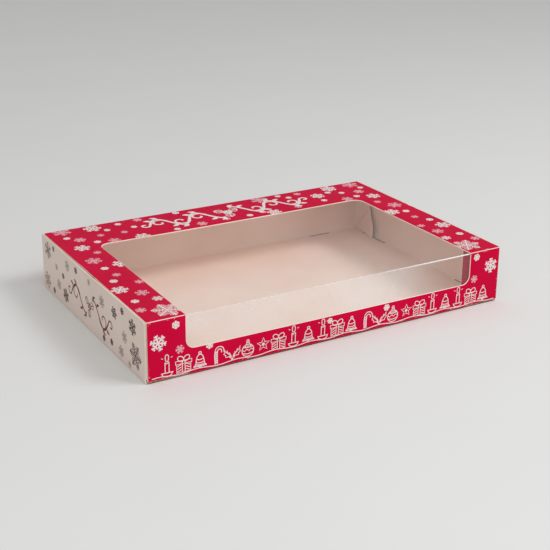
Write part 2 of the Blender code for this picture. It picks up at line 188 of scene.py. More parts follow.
def board_side(name, pale, deep, roughness, relief, gloss=0.3, edges=None):
    """One side of the board, from a pale and a deep tone of its colour. With edges, the middle and the
    half size of a panel, its print is scuffed along them."""
    made, tree, shader = material_of(name)
    pale, deep = colour(*pale), colour(*deep)
    place = put(tree, "ShaderNodeTexCoord").outputs["Object"]
    texture = put(tree, "ShaderNodeGroup", {"Place": place}, node_tree=grain).outputs
    tone = maths(tree, "MULTIPLY", texture["Cloud"], 0.55)
    tone = maths(tree, "MULTIPLY_ADD", texture["Fibre"], 0.45, tone)
    base = blend_colours(tree, ramp(tree, tone, 0.35, 0.65), deep, pale)
    base = blend_colours(tree, maths(tree, "MULTIPLY", texture["Speck"], 0.12), base, deep)
    if edges:
        inputs = {"Place": place, "Middle": edges[0], "Half Size": edges[1]}
        worn = put(tree, "ShaderNodeGroup", inputs, node_tree=scuffs).outputs["Worn"]
        base = blend_colours(tree, worn, base, fibre_colour)
    fill(tree, shader, {
        "Base Color": base, "Specular IOR Level": gloss,
        "Roughness": ramp(tree, texture["Fibre"], 0.3, 0.7, roughness - 0.05, roughness + 0.05),
        "Normal": bumps(tree, texture["Fibre"], 0.5, relief)})
    return made


fibre_colour = colour(240, 226, 214)
plain_inside = board_side("board_inside", (247, 224, 211), (241, 215, 200), 0.8, 0.03 * mm)
cut_edge = board_side("cut_edge", (250, 240, 228), (236, 222, 206), 0.85, 0.05 * mm)


def cream_side(name, edges=None):
    return board_side(name, (236, 218, 207), (229, 210, 198), 0.5, 0.01 * mm, 0.2, edges)


def red_side(name, edges=None):
    return board_side(name, (208, 5, 61), (200, 4, 54), 0.5, 0.01 * mm, 0.04, edges)


cream_print, red_print = cream_side("cream_print"), red_side("red_print")


# The tray's floor is the middle panel of the sheet. Short slits just inside its creases make the
# stiff board fold where it should. Its outer face is downwards.
floor_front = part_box("base_panel")[0].y
floor_middle, floor_half = (fold_y + floor_front) / 2, (fold_y - floor_front) / 2
slit_width, slit_inset = 1.4 * mm, 1 * mm        # the inset is from a crease to a slit's middle
back_slit_middle, back_slit_length = 83.4 * mm, 16 * mm
side_slit_middle, side_slit_length = 51 * mm, 26 * mm
facing_down = (pi, 0, 0)
soft_angle = radians(30)     # faces that meet at less are shaded as one


def lay_sheet(name, across, along, middle, turn):
    """A rectangle of board's outer face, which looks up before it is turned, cut into small squares."""
    square = 8 * mm
    bpy.ops.mesh.primitive_grid_add(
        x_subdivisions=max(2, round(across / square)), y_subdivisions=max(2, round(along / square)),
        size=1, location=middle, rotation=turn)
    piece = bpy.context.object
    piece.name = name
    piece.scale = (across, along, 1)
    bpy.ops.object.transform_apply()
    return piece


def select_only(piece):
    bpy.ops.object.select_all(action="DESELECT")
    piece.select_set(True)
    bpy.context.view_layer.objects.active = piece


def modify(piece, kind, **settings):
    """Adds a modifier to a piece with its settings, and applies it."""
    select_only(piece)
    modifier = piece.modifiers.new(kind.lower(), kind)
    for name, value in settings.items():
        setattr(modifier, name, value)
    bpy.ops.object.modifier_apply(modifier=modifier.name)


def thicken(piece, outside, inside, edge, thickness=board):
    """Gives a sheet its thickness inwards, with a material for each side and for its cut edges."""
    for finish in (outside, inside, edge):
        piece.data.materials.append(finish)
    modify(piece, "SOLIDIFY", thickness=thickness, offset=-1, use_even_offset=True, material_offset=1,
           material_offset_rim=2)
    bpy.ops.object.shade_smooth_by_angle(angle=soft_angle)


def choose(kind, test, along=None, sharp=False):
    """In edit mode, selects only the vertices that pass the test, or the edges whose ends both do.
    Edges may have to run along a direction, or to be sharp, too."""
    bpy.ops.mesh.select_mode(type=kind)
    bpy.ops.mesh.select_all(action="DESELECT")
    data = bpy.context.object.data
    mesh = bmesh.from_edit_mesh(data)
    for part in mesh.verts if kind == "VERT" else mesh.edges:
        ends = [part] if kind == "VERT" else part.verts
        straight = not along or abs((ends[1].co - ends[0].co).normalized().dot(along)) > 0.9
        keen = not sharp or part.calc_face_angle(0) > 1
        part.select_set(straight and keen and all(test(end.co) for end in ends))
    bmesh.update_edit_mesh(data)


def cut_away(piece, cutter):
    """Cuts the cutter's shape out of a piece and removes the cutter."""
    modify(piece, "BOOLEAN", operation="DIFFERENCE", object=cutter, solver="EXACT")
    bpy.data.objects.remove(cutter)


def block(low, high, finish=2):
    """A box between two corners, for cutting. Its cut gets the board's material of that number."""
    low, high = Vector(low), Vector(high)
    bpy.ops.mesh.primitive_cube_add(size=1, location=(low + high) / 2)
    made = bpy.context.object
    made.scale = high - low
    bpy.ops.object.transform_apply()
    for side in (None, plain_inside, cut_edge):
        made.data.materials.append(side)
    for face in made.data.polygons:
        face.material_index = finish
    return made


def cut_slit(across, up, wide, long):
    """Cuts a slit of a width and a length through the floor, about a place on it."""
    cut_away(floor_panel, block(
        (across - wide / 2, up - long / 2, -board), (across + wide / 2, up + long / 2, 2 * board)))


floor_panel = lay_sheet("floor_board", 2 * fold_x, 2 * floor_half, (0, floor_middle, 0), facing_down)
# The slits' cut walls, and the floor's other cut edges, are dark brown: painted shade that stands in for
# the shadow down in the slits. The raw board itself is pale.
slit_painted_shade = board_side("slit_painted_shade", (132, 96, 78), (98, 68, 54), 0.85, 0.05 * mm)
base_red = red_side("base_red", ((0, floor_middle, 0), (fold_x, floor_half, 1)))
thicken(floor_panel, base_red, plain_inside, slit_painted_shade)
for side in (-1, 1):
    cut_slit(side * back_slit_middle, fold_y - slit_inset, back_slit_length, slit_width)
    for end in (-1, 1):
        cut_slit(side * (fold_x - slit_inset), end * side_slit_middle, slit_width, side_slit_length)
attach(floor_panel, "tray")
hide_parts("base_panel")


# The back wall and the end walls stand up from the floor on rounded creases. The back wall carries
# the lid along its top; the end walls' top edges are raw, and a fine gap shows between them and the lid.
corner_gap = 0.3 * mm        # between an end wall and its corner flap
corner_fold = fold_x - board - corner_gap        # where a corner flap turns off the back wall
back_turn = (pi / 2, 0, pi)
end_turn = {-1: (pi / 2, 0, -pi / 2), 1: (pi / 2, 0, pi / 2)}
both_sides = ((-1, "left"), (1, "right"))
wall_low, wall_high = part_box("left_end_wall")


def fold_round(test, centre, axis, angle):
    """Spins the active sheet's edges that pass the test about a crease's centre line."""
    bpy.ops.object.mode_set(mode="EDIT")
    choose("EDGE", test)
    bpy.ops.mesh.spin(steps=5, angle=angle, center=centre, axis=axis)
    bpy.ops.object.mode_set(mode="OBJECT")


def near(a, b, within=0.02 * mm):
    return abs(a - b) < within


def at(**spots):
    """A test of whether a vertex lies at these coordinates."""
    return lambda place: all(near(getattr(place, axis), spot) for axis, spot in spots.items())


back_panel = lay_sheet(
    "back_board", 2 * corner_fold, height - 2 * fold, (0, half_depth, height / 2), back_turn)
fold_round(at(z=fold), (0, fold_y, fold), (1, 0, 0), pi / 2)
back_red = red_side(
    "back_red", ((0, half_depth, height / 2), (corner_fold, 1, height / 2 - 0.6 * fold)))
thicken(back_panel, back_red, plain_inside, cut_edge)
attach(back_panel, "tray")
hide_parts("back_wall")

end_panels = {}
for side, word in both_sides:
    panel = lay_sheet(
        word + "_end_board", wall_high.y - wall_low.y, height - fold,
        (side * half_length, (wall_high.y + wall_low.y) / 2, (height + fold) / 2), end_turn[side])
    fold_round(at(z=fold), (side * fold_x, 0, fold), (0, 1, 0), -side * pi / 2)
    end_cream = cream_side(
        word + "_end_cream", ((side * half_length, 0, height / 2), (1, half_depth, height / 2)))
    thicken(panel, end_cream, plain_inside, cut_edge)
    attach(panel, "tray")
    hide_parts(word + "_end_wall")
    end_panels[side] = panel


# The corner flaps turn off the back wall and are glued inside the end walls. Each has a slanted
# crease, on which it folds when the empty tray is pressed flat, and a slanted free edge that springs
# a little off the wall.
flap_low, flap_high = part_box("left_corner_flap")
flap_face = -flap_low.x
flap_top_width, flap_bottom_width, flap_corner = 17 * mm, 28 * mm, 2 * mm
groove_half, groove_depth, groove_reach = 0.35 * mm, 0.15 * mm, 30 * mm
flap_bend = radians(8)       # at each of two bends, a third and two thirds along
margin = 0.5 * mm            # keeps a line of vertices on the right side of a test


def trim(point, normal):
    """Cuts off what the active piece has past a plane."""
    bpy.ops.object.mode_set(mode="EDIT")
    bpy.ops.mesh.select_all(action="SELECT")
    bpy.ops.mesh.bisect(plane_co=point, plane_no=normal, clear_outer=True)
    bpy.ops.object.mode_set(mode="OBJECT")


def bevel(kind, test, radius, segments, along=None, sharp=False, material=-1):
    """Rounds the active piece's chosen vertices or edges."""
    bpy.ops.object.mode_set(mode="EDIT")
    choose(kind, test, along, sharp)
    bpy.ops.mesh.bevel(offset=radius, segments=segments, material=material,
                       affect="VERTICES" if kind == "VERT" else "EDGES")
    bpy.ops.object.mode_set(mode="OBJECT")


def turn_about(test, centre, angle):
    """Turns the active piece's vertices that pass the test about an upright line."""
    bpy.ops.object.mode_set(mode="EDIT")
    choose("VERT", test)
    bpy.ops.transform.rotate(value=angle, orient_axis="Z", center_override=centre)
    bpy.ops.object.mode_set(mode="OBJECT")


for side, word in both_sides:
    flap = lay_sheet(
        word + "_corner_board", flap_bottom_width - fold, flap_high.z - flap_low.z,
        (side * flap_face, fold_y - (flap_bottom_width - fold) / 2, (flap_high.z + flap_low.z) / 2),
        end_turn[side])
    trim((0, half_depth - flap_bottom_width, flap_low.z),
         (0, flap_low.z - flap_high.z, flap_bottom_width - flap_top_width))
    for z, width in ((flap_low.z, flap_bottom_width), (flap_high.z, flap_top_width)):
        bevel("VERT", at(z=z, y=half_depth - width), flap_corner, 5)
    fold_round(at(y=fold_y), (side * (flap_face - fold), fold_y, 0), (0, 0, 1), -side * pi / 2)
    thicken(flap, cream_print, plain_inside, cut_edge)
    groove_corner = Vector((groove_depth, groove_reach, groove_half))
    groove = block(-groove_corner, groove_corner, 1)
    groove.rotation_euler.x = -pi / 4
    groove.location = (side * (flap_face - board), fold_y, flap_low.z)
    bpy.ops.object.transform_apply()
    cut_away(flap, groove)
    for part in (0.33, 0.67):
        bend = fold_y - part * (flap_bottom_width - fold)
        turn_about(lambda place: place.y < bend + margin, (side * flap_face, bend, 0), side * flap_bend)
    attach(flap, "tray")
    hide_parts(word + "_corner_flap")


# The front flaps fold in from the end walls' front edges and spring back behind the front panel.
# They are printed red like it, and show through the film.
swing_rest = radians(28)
front_low, front_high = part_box("left_front_flap")
flap_length, shoulder, shoulder_run = 21 * mm, 1.2 * mm, 4 * mm
flap_low_corner, flap_high_corner = 4 * mm, 2 * mm
die_round = 0.22 * mm    # how far the die rounds the board's printed edge, down to the pale fibre
facing_front = (pi / 2, 0, 0)


def soften_edge(test):
    """Rounds the active piece's cut edges that pass the test, where the pale fibre shows."""
    bevel("EDGE", test, die_round, 2, sharp=True, material=2)


for side, word in both_sides:
    hinge = Vector((side * fold_x, wall_low.y, 0))
    flap = lay_sheet(
        word + "_front_flap_board", flap_length, front_high.z - front_low.z,
        (hinge.x - side * flap_length / 2, hinge.y - fold, (front_high.z + front_low.z) / 2),
        facing_front)
    trim((hinge.x - side * shoulder_run, 0, front_low.z), (side * shoulder, 0, -shoulder_run))
    free_end = hinge.x - side * flap_length
    for z, radius in ((front_low.z, flap_low_corner), (front_high.z, flap_high_corner)):
        bevel("VERT", at(z=z, x=free_end), radius, 6)
    thicken(flap, red_print, plain_inside, cut_edge)
    soften_edge(lambda place: near(place.y, hinge.y - fold) and side * (hinge.x - place.x) > margin)
    turn_about(lambda place: True, hinge, side * swing_rest)
    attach(flap, word + "_flap")
    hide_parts(word + "_front_flap")


# The lid is the top of the carton. The window is cut in from its front edge, with rounded back
# corners, and its front crease is left standing only as two posts.
lid_gap = 0.2 * mm           # by which the lid stays inside each end wall's crease
lid_half = fold_x - lid_gap
window_half, window_back, window_corner = 92.3 * mm, 41.3 * mm, 6 * mm
sill, sill_corner = 15.3 * mm, 5 * mm
reach = 5 * mm               # how far a cutter stands past the board
touch = 0.01 * mm            # what counts as on the window's edge
facing_up = (0, 0, 0)

lid = lay_sheet("lid_board", 2 * lid_half, 2 * fold_y, (0, 0, height), facing_up)
lid_red = red_side("lid_red", ((0, 0, height), (lid_half, fold_y, 1)))
thicken(lid, lid_red, plain_inside, cut_edge)
opening = block(
    (-window_half, -half_depth - reach, height - reach), (window_half, window_back, height + reach))
bevel("EDGE", at(y=window_back), window_corner, 8, along=Vector((0, 0, 1)))
cut_away(lid, opening)
soften_edge(lambda place: near(place.z, height) and abs(place.x) < window_half + touch
            and place.y < window_back + touch)
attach(lid, "lid")
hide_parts("lid_panel")


# The front panel hangs from the lid's front crease, and the window runs down it to a low sill. Its
# sides taper a little towards the tuck flap.
panel_bottom, panel_taper = 1.6 * mm, 1.4 * mm
panel_middle, panel_height = (fold_z + panel_bottom) / 2, fold_z - panel_bottom
front = lay_sheet(
    "front_board", 2 * lid_half, panel_height, (0, -half_depth, panel_middle), facing_front)
for side in (-1, 1):
    trim((side * lid_half, 0, fold_z), (side * panel_height, 0, -panel_taper))
front_red = red_side("front_red", (
    (0, -half_depth, panel_middle), (lid_half - panel_taper / 2, 1, panel_height / 2)))
thicken(front, front_red, plain_inside, cut_edge)
opening = block(
    (-window_half, -half_depth - reach, sill), (window_half, reach - half_depth, height + reach))
bevel("EDGE", at(z=sill), sill_corner, 8, along=Vector((0, 1, 0)))
cut_away(front, opening)
soften_edge(lambda place: near(place.y, -half_depth) and abs(place.x) < window_half + touch
            and place.z > sill - touch)
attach(front, "front")
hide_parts("front_panel")


# The tuck flap turns in under the front panel and lies on the floor. Its sides taper and its corners
# are rounded, so that it slides in.
tuck_edge = -61 * mm
tuck_half, tuck_taper, tuck_corner = 90.7 * mm, 3 * mm, 5 * mm
tuck_depth = fold_y + tuck_edge
tuck = lay_sheet(
    "tuck_board", 2 * tuck_half, tuck_depth, (0, (tuck_edge - fold_y) / 2, fold), facing_down)
for side in (-1, 1):
    trim((side * tuck_half, -fold_y, 0), (side * tuck_depth, tuck_taper, 0))
    bevel("VERT", at(y=tuck_edge, x=side * (tuck_half - tuck_taper)), tuck_corner, 6)
thicken(tuck, red_print, plain_inside, cut_edge)
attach(tuck, "tuck")
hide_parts("tuck_flap")


# The window is one sheet of clear film, 0.2 mm thick, folded over the front edge. It is glued to
# the inside of the lid and of the front panel, on an 8 mm lap round the opening.
film, film_fold, glue = 0.2 * mm, 0.5 * mm, 0.05 * mm
film_half, film_back, film_bottom = 100.3 * mm, 49.3 * mm, 7.3 * mm
film_top_face, film_front_face = height - board - glue, glue + board - half_depth
film_turn_y, film_turn_z = film_front_face + film_fold, film_top_face - film_fold
veil_from, veil_to = 20 * mm, 80 * mm    # where along the box its veil may change


def film_finish(name, left_haze_and_reflection, right_haze_and_reflection):
    """Clear film: it mirrors the room more at a slant, and a pale veil lies over it, which may change
    towards its right end. A faint veil is left by handling; the front film's stronger veil is painted
    reflection, and the fold's white is stress whitening and painted highlight. It hardly darkens what
    it covers."""
    made, tree, shader = material_of(name)
    outer_side = maths(tree, "SUBTRACT", 1.0, put(tree, "ShaderNodeNewGeometry").outputs["Backfacing"])
    mirror = put(tree, "ShaderNodeFresnel", {"IOR": 1.45}).outputs["Fac"]
    mirror = maths(tree, "MULTIPLY", maths(tree, "MULTIPLY", mirror, 0.65), outer_side)
    place = put(tree, "ShaderNodeTexCoord").outputs["Object"]
    ripple = noise(tree, place, 16.0, 2.0)
    across = put(tree, "ShaderNodeSeparateXYZ", {"Vector": place}).outputs["X"]
    veil = maths(tree, "MULTIPLY", ramp(tree, ripple, 0.35, 0.65, 0.5, 1.5), outer_side)
    veil = maths(tree, "MULTIPLY", veil, ramp(tree, across, veil_from, veil_to, left_haze_and_reflection, right_haze_and_reflection))
    seen = maths(tree, "ADD", mirror, veil)
    path = put(tree, "ShaderNodeLightPath").outputs
    lighting = maths(tree, "MAXIMUM", path["Is Shadow Ray"], path["Is Diffuse Ray"])
    fill(tree, shader, {
        "Base Color": (0.86, 0.87, 0.88, 1), "Roughness": 0.12,
        "Alpha": maths(tree, "MULTIPLY", seen, ramp(tree, lighting, 0.0, 1.0, 1.0, 0.1)),
        "Metallic": maths(tree, "DIVIDE", mirror, seen), "Normal": bumps(tree, ripple, 0.4, 0.6 * mm)})
    return made


# The clear film's faint veil is left by handling. The front film's veil is strong at its left end and
# fades to the right: painted reflection, over a little of that handling veil.
film_clear = film_finish("film_clear", 0.05, 0.03)
film_haze_and_reflection = film_finish("film_haze_and_reflection", 0.26, 0.04)
# The fold and the film's cut edges get a white veil that grows to the right: partly stress whitening,
# partly a painted highlight along the fold.
film_whitening_and_highlight = film_finish("film_whitening_and_highlight", 0.15, 0.6)
film_top = lay_sheet(
    "film_over_top", 2 * film_half, film_back - film_turn_y,
    (0, (film_back + film_turn_y) / 2, film_top_face), facing_up)
thicken(film_top, film_clear, film_clear, film_whitening_and_highlight, film)
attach(film_top, "lid")
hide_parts("window_film_top")

film_front = lay_sheet(
    "film_over_front", 2 * film_half, film_turn_z - film_bottom,
    (0, film_front_face, (film_turn_z + film_bottom) / 2), facing_front)
thicken(film_front, film_haze_and_reflection, film_clear, film_whitening_and_highlight, film)
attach(film_front, "front")
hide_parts("window_film_front")


# Where panels turn against each other, the sheet bends round a crease. Each such crease is a strip
# of the sheet, spun round the bend as it lies at rest. The print cracks white along the two short front
# creases.
def worn_print(name, base, crack_width):
    """The print on a crease, cracked to the pale fibre along its middle."""
    made = base.copy()
    made.name = name
    tree = made.node_tree
    shader = tree.nodes["Principled BSDF"]
    place = put(tree, "ShaderNodeAttribute", attribute_name="rest_place").outputs["Vector"]
    for link in [link for link in tree.links if link.from_node.type == "TEX_COORD"]:
        tree.links.new(place, link.to_socket)
    across = put(tree, "ShaderNodeAttribute", attribute_name="across").outputs["Fac"]
    flakes = noise(tree, place, 900.0, 3.0)
    off_middle = maths(tree, "ABSOLUTE", maths(tree, "SUBTRACT", across, 0.5))
    edge = maths(tree, "MULTIPLY_ADD", flakes, 0.4, maths(tree, "SUBTRACT", off_middle, 0.2))
    crack = ramp(tree, edge, crack_width + 0.06, crack_width - 0.06)
    plain = shader.inputs["Base Color"].links[0].from_socket
    fill(tree, shader, {"Base Color": blend_colours(tree, crack, plain, colour(240, 228, 222))})
    return made


def crease(name, first, last, centre, angle, outside, inside=plain_inside, thickness=board,
           steps=6):
    """A strip of the sheet spun from the line first to last about the crease's centre line. Each of its
    points keeps its place and how far round the bend it lies."""
    first, last, centre = Vector(first), Vector(last), Vector(centre)
    axis = (last - first).normalized()
    bpy.ops.mesh.primitive_plane_add(size=1)
    piece = bpy.context.object
    piece.name = name
    bpy.ops.object.mode_set(mode="EDIT")
    choose("VERT", lambda place: place.y > 0)
    bpy.ops.mesh.delete(type="VERT")
    bpy.ops.mesh.select_all(action="SELECT")
    mesh = bmesh.from_edit_mesh(piece.data)
    for corner, place in zip(mesh.verts, (first, last)):
        corner.co = place
    bmesh.update_edit_mesh(piece.data)
    piece_length = 4 * mm
    bpy.ops.mesh.subdivide(number_cuts=max(1, round((last - first).length / piece_length)))
    bpy.ops.mesh.spin(steps=steps, angle=-angle, center=centre, axis=axis)
    bpy.ops.mesh.select_all(action="SELECT")
    bpy.ops.mesh.normals_make_consistent(inside=False)
    bpy.ops.object.mode_set(mode="OBJECT")
    face = piece.data.polygons[0]
    if face.normal.dot(face.center - centre) < 0:
        piece.data.flip_normals()
    thicken(piece, outside, inside, cut_edge, thickness)
    rest = piece.data.attributes.new("rest_place", "FLOAT_VECTOR", "POINT")
    across = piece.data.attributes.new("across", "FLOAT", "POINT")
    begin = first - centre
    begin -= axis * begin.dot(axis)
    for vertex in piece.data.vertices:
        rest.data[vertex.index].vector = vertex.co
        arm = vertex.co - centre
        arm -= axis * arm.dot(axis)
        across.data[vertex.index].value = begin.angle(arm) / abs(angle)
    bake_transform(piece)


cracked_print = worn_print("cracked_print", red_print, 0.16)
folded_print = worn_print("folded_print", red_print, 0.0)
folded_cream = worn_print("folded_cream", cream_print, 0.0)
crease(
    "rear_crease", (-corner_fold, half_depth, fold_z), (corner_fold, half_depth, fold_z),
    (0, fold_y, fold_z), pi / 2, folded_print, steps=5)
for side, word in both_sides:
    post_left, post_right = sorted((side * window_half, side * lid_half))
    crease(
        word + "_front_crease", (post_left, -fold_y, height), (post_right, -fold_y, height),
        (0, -fold_y, fold_z), pi / 2, cracked_print)
    crease(
        word + "_flap_crease", (side * half_length, wall_low.y, front_low.z + shoulder),
        (side * half_length, wall_low.y, front_high.z), (side * fold_x, wall_low.y, 0),
        -side * (pi / 2 + swing_rest), folded_cream)
crease(
    "tuck_crease", (-tuck_half, -half_depth, panel_bottom), (tuck_half, -half_depth, panel_bottom),
    (0, -fold_y, panel_bottom), pi / 2, folded_print)
# The film's fold is white: stress whitening and a painted highlight.
crease(
    "film_crease", (-film_half, film_turn_y, film_top_face), (film_half, film_turn_y, film_top_face),
    (0, film_turn_y, film_turn_z), pi / 2, film_whitening_and_highlight, film_clear, film)


# The print is ink a few hundredths of a millimetre thick on the coated side: snowflakes of five
# designs, white and pale pink on the red panels, brown and grey on the cream ends.
ink_thickness = 0.02 * mm


def ink(name, *tone):
    """Satin ink, a little uneven where the board's fibres show through."""
    return board_side(name, tone, [part * 0.95 for part in tone], 0.45, 0.01 * mm, 0.22)


white_ink, pink_ink = ink("white_ink", 240, 228, 226), ink("pink_ink", 240, 192, 202)
brown_ink, grey_ink = ink("brown_ink", 78, 58, 56), ink("grey_ink", 150, 138, 130)
hair = 1e-4      # how near counts as touching, on a flake one unit across its arms


def snowflake(name, bar, barbs, tip=0.0):
    """A flat six-armed star one unit across its arms. It is one arm, shaped and spun, and a middle.
    Barbs are start, thickness and length along the arm; tip is how far a pointed end swells."""
    arm_start, arm_end = bar * cos(pi / 6), 1 - tip
    bpy.ops.mesh.primitive_plane_add(size=1, location=(0, (arm_start + arm_end) / 2, 0))
    flake = bpy.context.object
    flake.name = name
    flake.scale = (bar, arm_end - arm_start, 1)
    bpy.ops.object.transform_apply()
    bpy.ops.object.mode_set(mode="EDIT")
    for start, thickness, length in barbs:
        for cut_at in (start, start + thickness):
            bpy.ops.mesh.select_all(action="SELECT")
            bpy.ops.mesh.bisect(plane_co=(0, cut_at, 0), plane_no=(0, 1, 0))
    for start, thickness, length in barbs:
        for side in (-1, 1):
            choose("EDGE", lambda place: near(place.x, side * bar / 2, hair)
                   and start - hair < place.y < start + thickness + hair)
            bpy.ops.mesh.extrude_region_move(TRANSFORM_OT_translate={
                "value": (side * length * sin(pi / 3), length * cos(pi / 3), 0)})
    if tip:
        choose("EDGE", lambda place: near(place.y, arm_end, hair) and abs(place.x) < bar)
        for share, spread in ((0.45, 2.4), (0.55, 0.1)):
            bpy.ops.mesh.extrude_region_move(TRANSFORM_OT_translate={"value": (0, tip * share, 0)})
            bpy.ops.transform.resize(value=(spread, 1, 1))
    bpy.ops.mesh.select_all(action="SELECT")
    bpy.ops.mesh.spin(steps=6, dupli=True, angle=2 * pi, center=(0, 0, 0), axis=(0, 0, 1))
    bpy.ops.mesh.select_all(action="SELECT")
    bpy.ops.mesh.remove_doubles(threshold=0.001)
    choose("EDGE", lambda place: place.length < bar * 1.01)
    bpy.ops.mesh.edge_face_add()
    bpy.ops.mesh.select_all(action="SELECT")
    bpy.ops.mesh.normals_make_consistent(inside=False)
    bpy.ops.object.mode_set(mode="OBJECT")
    if flake.data.polygons[0].normal.z < 0:
        flake.data.flip_normals()
    return flake


bold = snowflake("flake_bold", 0.2, ((0.4, 0.2, 0.26), (0.74, 0.2, 0.18)))
small = snowflake("flake_small", 0.36, (), 0.5)
fine = snowflake("flake_fine", 0.15, ((0.32, 0.14, 0.24), (0.66, 0.14, 0.26)))
lacy = snowflake("flake_lacy", 0.11, ((0.24, 0.09, 0.16), (0.48, 0.09, 0.3), (0.74, 0.09, 0.22)))
large = snowflake(
    "flake_large", 0.09,
    ((0.2, 0.08, 0.2), (0.38, 0.08, 0.3), (0.56, 0.08, 0.28), (0.72, 0.08, 0.18)), 0.16)


turn_step = 0.3              # radians, from each flake to the next


def lay_on(piece, middle, turn):
    """Brings ink that was made flat to its panel."""
    piece.location = middle
    piece.rotation_euler = turn
    bpy.ops.object.transform_apply()
    return piece


def print_flakes(name, rows, middle, turn, trims, inks):
    """Copies of the designs on a panel, each a row of design, place across and up, and width in
    millimetres. Trims gives a flake's cuts, each a point and a direction past which it ends."""
    copies = []
    for number, (design, across, up, width) in enumerate(rows):
        flake = design.copy()
        flake.data = design.data.copy()
        bpy.context.collection.objects.link(flake)
        flake.data.materials.append(inks[design])
        select_only(flake)
        flake.location = (across * mm, up * mm, 0)
        flake.rotation_euler.z = turn_step * number
        flake.scale = (width * mm / 2,) * 3
        bpy.ops.object.transform_apply()
        for point, direction in trims(across * mm, up * mm):
            trim((*point, 0), (*direction, 0))
        copies.append(flake)
    select_only(copies[0])
    for flake in copies:
        flake.select_set(True)
    bpy.ops.object.join()
    piece = bpy.context.object
    piece.name = name
    modify(piece, "SOLIDIFY", thickness=ink_thickness, offset=1)
    return lay_on(piece, middle, turn)


# Flakes this far inside the window's sides are trimmed along its back edge and its sill.
lid_inset, front_inset = 2 * mm, 4 * mm
on_red = {bold: white_ink, small: white_ink, fine: pink_ink, lacy: pink_ink, large: white_ink}
lid_flakes = (
    (lacy, -104, 72, 12), (bold, -85, 70, 11), (small, -105, 60, 4.5), (small, -78, 63, 4.2),
    (small, -68, 70, 4.4), (fine, -99, 54, 7.5), (fine, -85, 56, 4.6), (fine, -70, 55, 4.6),
    (small, -61, 61, 4.2), (bold, -103, 40, 9.5), (small, -91, 46, 4.6), (lacy, -81, 44, 8),
    (bold, -63, 43, 9.5), (fine, -98, 29, 4.8), (lacy, -105, 17, 10), (small, -104, 3, 4.8),
    (bold, -93, 6, 10), (fine, -102, -9, 5), (small, -107, -17, 5), (bold, -109, -30, 9.6),
    (fine, -95, -24, 5.2), (lacy, -100, -39, 8), (bold, -96, -50, 6), (small, -108, -48, 4.8),
    (fine, -110, -60, 6), (large, -98, -66, 17), (fine, -54, 72, 6), (small, -27, 73, 5),
    (small, -39, 45, 4.6), (fine, -21, 47, 7), (fine, -3, 48, 5), (small, 13, 47, 4.6),
    (bold, 30, 45, 9.5), (fine, 49, 47, 5.4), (lacy, 33, 71, 12), (small, 48, 72, 4.4),
    (small, 53, 66, 4.4), (fine, 62, 70, 5.4), (bold, 72, 60, 9.5), (small, 82, 63, 4.6),
    (small, 71, 50, 4.6), (bold, 87, 70, 11), (small, 90, 58, 4.4), (fine, 86, 45, 8),
    (lacy, 105, 71, 12), (small, 108, 62, 4.6), (fine, 102, 55, 7.5), (small, 95, 47, 4.8),
    (bold, 105, 42, 9.5), (fine, 100, 30, 5), (lacy, 106, 19, 10), (bold, 96, 8, 10), (small, 105, 5, 5),
    (fine, 103, -7, 5), (small, 108, -16, 5), (fine, 96, -23, 5.2), (bold, 109, -28, 9.6),
    (lacy, 99, -36, 8), (bold, 96, -48, 6), (small, 108, -46, 5), (fine, 111, -57, 6),
    (large, 99, -64, 17))


def lid_trims(across, up):
    """The lid's own edges, and the window's."""
    edges = [((0, fold_y), (0, 1)), ((0, -fold_y), (0, -1))]
    edges += [((lid_half, 0), (1, 0)), ((-lid_half, 0), (-1, 0))]
    if abs(across) < window_half - lid_inset:
        return edges + [((0, window_back), (0, -1))]
    if up > window_back:
        return edges
    side = 1 if across > 0 else -1
    return edges + [((side * window_half, 0), (-side, 0))]


lid_print = print_flakes("lid_print", lid_flakes, (0, 0, height), facing_up, lid_trims, on_red)
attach(lid_print, "lid")

front_flakes = (
    (small, -98, 30, 4.6), (bold, -108, 22, 9), (fine, -96, 16, 5), (small, -79, 14.5, 4.4),
    (small, -5, 12.5, 3.6), (small, 33, 12.5, 4.2), (small, 97, 31, 4.6), (bold, 108, 24, 9),
    (fine, 96, 17.5, 5))
front_print = print_flakes(
    "front_print", front_flakes, (0, -half_depth, 0), facing_front,
    lambda across, up: [((0, sill), (0, 1))] if abs(across) < window_half - front_inset else [], on_red)
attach(front_print, "front")

# The ends carry the same flakes in brown and grey, set out from the front to the back.
on_cream = {bold: brown_ink, small: brown_ink, fine: grey_ink, lacy: brown_ink, large: brown_ink}
end_flakes = (
    (lacy, -66, 27, 11), (small, -56, 31, 3.6), (fine, -52, 21, 4.4), (fine, -33, 28, 7),
    (small, -19, 30, 4.4), (small, -41, 19, 4), (fine, 1, 30, 4), (fine, -49, 11, 7), (fine, -69, 7, 11),
    (small, -58, 4, 4), (bold, -38, 8, 8.6), (fine, 19, 25, 7.5), (bold, 36, 25, 7), (small, 47, 30, 4.4),
    (bold, 60, 26, 9), (fine, 49, 16, 7), (small, 20, 4, 4), (small, 31, 6, 4.2), (fine, 44, 6, 7),
    (large, 63, 11, 15), (fine, 55, 3, 4))
end_prints = {}
for side, word in both_sides:
    end_prints[side] = print_flakes(
        word + "_end_print", end_flakes, (side * half_length, 0, 0), end_turn[side],
        lambda across, up: [((0, height), (0, 1)), ((0, fold), (0, -1))], on_cream)
    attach(end_prints[side], "tray")

